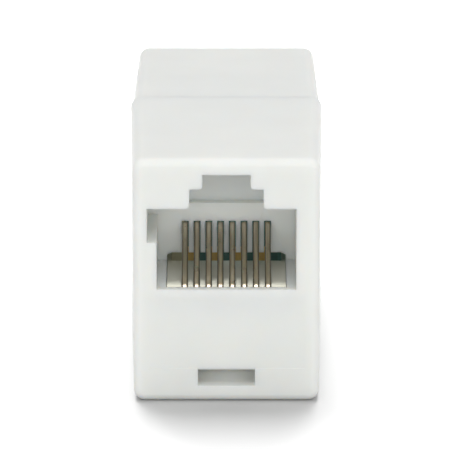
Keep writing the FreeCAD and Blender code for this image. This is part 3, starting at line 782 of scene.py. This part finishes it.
floor_mesh = bpy.data.meshes.new("studio_floor")
half = FLOOR_SIZE / 2
floor_mesh.from_pydata([(-half, -half, 0), (half, -half, 0), (half, half, 0), (-half, half, 0)], [],
                       [(0, 1, 2, 3)])
floor = bpy.data.objects.new("studio_floor", floor_mesh)
floor_mesh.materials.append(floor_finish())
bpy.context.collection.objects.link(floor)
print("floor %.0f m square" % FLOOR_SIZE)

# %% [markdown]
# ## Lamps
# White on white needs two things at once: a floor that is pure white with a shadow towards the
# camera, and a case whose top, face and inside of the jack differ by only a few steps. One set
# of lamps for everything could do one of them, but not both. Light linking says which lamp
# lights what, so the floor has a lamp of its own, above and behind, and the coupler casts its
# shadow in it. One box hangs overhead, two hang high in front and shape the wires, and a wide
# low panel reaches the back of the jack. Each of these is there twice: once for the case, where
# it leaves no mirror image on the flat top, and once for all that lies inside. A narrow strip
# box draws the bright band along the carriers' front edge and the glints on the wires.

# %% A soft box and what it lights
AIM = Vector((0.0, 0.0, height / 2))


def soft_box(name, place, size, power):
    """A rectangular area lamp, size across and along, aimed at the coupler's middle."""
    data = bpy.data.lights.new(name, "AREA")
    data.shape = "RECTANGLE"
    data.size, data.size_y = size
    data.energy = power
    lamp = bpy.data.objects.new(name, data)
    lamp.location = place
    lamp.rotation_euler = (AIM - Vector(place)).to_track_quat("-Z", "Y").to_euler()
    bpy.context.collection.objects.link(lamp)
    return lamp


def light_only(lamp, receivers):
    """Link a lamp to the objects that it lights; every object still casts its shadow."""
    collection = bpy.data.collections.new(lamp.name + "_receivers")
    for item in receivers:
        collection.objects.link(item)
    lamp.light_linking.receiver_collection = collection


# %% Lamps on the floor and the coupler
# name, place and size in metres, power in watts
FLOOR_KEY = ("floor_key", (-0.02, 0.28, 0.55), (0.34, 0.50), 5.7)
PRODUCT_BOXES = (("overhead_box", (0.03, 0.12, 0.62), (0.50, 0.50), 0.60),
                 ("steep_front_box", (0.04, -0.28, 0.60), (0.45, 0.45), 0.60),
                 ("front_box", (0.03, -0.55, 0.40), (0.50, 0.50), 0.72),
                 ("low_front_panel", (0.03, -0.75, 0.10), (1.40, 0.30), 1.95))
STRIP_PLACE, STRIP_SIZE = (0.02, -0.19, 0.57), (0.30, 0.05)
STRIP_POWERS = {"carrier": 2.6, "wires": 1.5}

product = [item for item in bpy.context.scene.objects if item.type == "MESH" and item != floor]
cases = [item for item in product if "housing" in item.name or "case" in item.name]
inside = [item for item in product if item not in cases]
light_only(soft_box(*FLOOR_KEY), [floor])
for name, place, size, power in PRODUCT_BOXES:
    for part, receivers, mirrored in (("case", cases, False), ("inside", inside, True)):
        lamp = soft_box(name + "_" + part, place, size, power)
        lamp.visible_glossy = mirrored
        light_only(lamp, receivers)
for part, power in STRIP_POWERS.items():
    strip_box = soft_box("steep_strip_box_" + part, STRIP_PLACE, STRIP_SIZE, power)
    light_only(strip_box, [item for item in inside if part in item.name])
print(len(cases), "case objects and", len(inside), "inside ones are lit by lamps of their own")

# %% [markdown]
# ## Light that soaks through the walls
# The case walls are thin, so in bright light the closed space round the board and the pocket
# behind the small window are never quite dark. Light through a wall could be left to the
# material, but that takes many samples to come out clean. A very weak small lamp in each of
# those places gives the same glow at once.

# %% Soaked light
GLOW_RADIUS = 1.0 * MM
# name, power in watts, distance from the coupler's middle, height
WALL_GLOW = ("_wall_glow", 0.0009, 5.5 * MM, 14.5 * MM)
BASE_GLOW = ("_base_glow", 0.00009, 15.1 * MM, 4.3 * MM)
board_pieces = [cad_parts[node] for node in BOARD_FINISHES]


def glow(name, power, y, z, receivers):
    """A small round lamp inside the case."""
    data = bpy.data.lights.new(name, "POINT")
    data.energy = power
    data.shadow_soft_size = GLOW_RADIUS
    lamp = bpy.data.objects.new(name, data)
    lamp.location = (0.0, y, z)
    bpy.context.collection.objects.link(lamp)
    light_only(lamp, receivers)


for side, turn in (("front", -1), ("rear", 1)):
    for (part, power, y, z), receivers in ((WALL_GLOW, board_pieces), (BASE_GLOW, cases)):
        glow(side + part, power, turn * y, z, receivers)
print("glow lamps of %.2f and %.2f mW in each end" % (WALL_GLOW[1] / MM, BASE_GLOW[1] / MM))

# %% [markdown]
# ## The white room
# Much of the coupler's light comes evenly from a white room, so that its rounded rim stays as
# quiet as its faces. The room could be built of walls, but the world's background does it with
# no shadows of its own. As with the floor, what is seen and what gives light are two things: the
# room is pure white to the eye and in mirror images, and lights the object at about half of that.

# %% World
WORLD_STRENGTH = 0.52
WHITE = (1.0, 1.0, 1.0, 1.0)

world = bpy.data.worlds.new("studio_world")
bpy.context.scene.world = world
world.use_nodes = True
world_tree = world.node_tree
world_tree.nodes.clear()
world_output = world_tree.nodes.new("ShaderNodeOutputWorld")
ambient = add_node(world_tree, "ShaderNodeBackground", Color=WHITE, Strength=WORLD_STRENGTH)
white = add_node(world_tree, "ShaderNodeBackground", Color=WHITE, Strength=1.0)
choose = world_tree.nodes.new("ShaderNodeMixShader")
world_tree.links.new(seen_rays(world_tree), choose.inputs[0])
world_tree.links.new(ambient.outputs[0], choose.inputs[1])
world_tree.links.new(white.outputs[0], choose.inputs[2])
world_tree.links.new(choose.outputs[0], world_output.inputs["Surface"])
bpy.context.scene.view_settings.view_transform = "Standard"
print("the room gives %.2f of its white as light" % WORLD_STRENGTH)
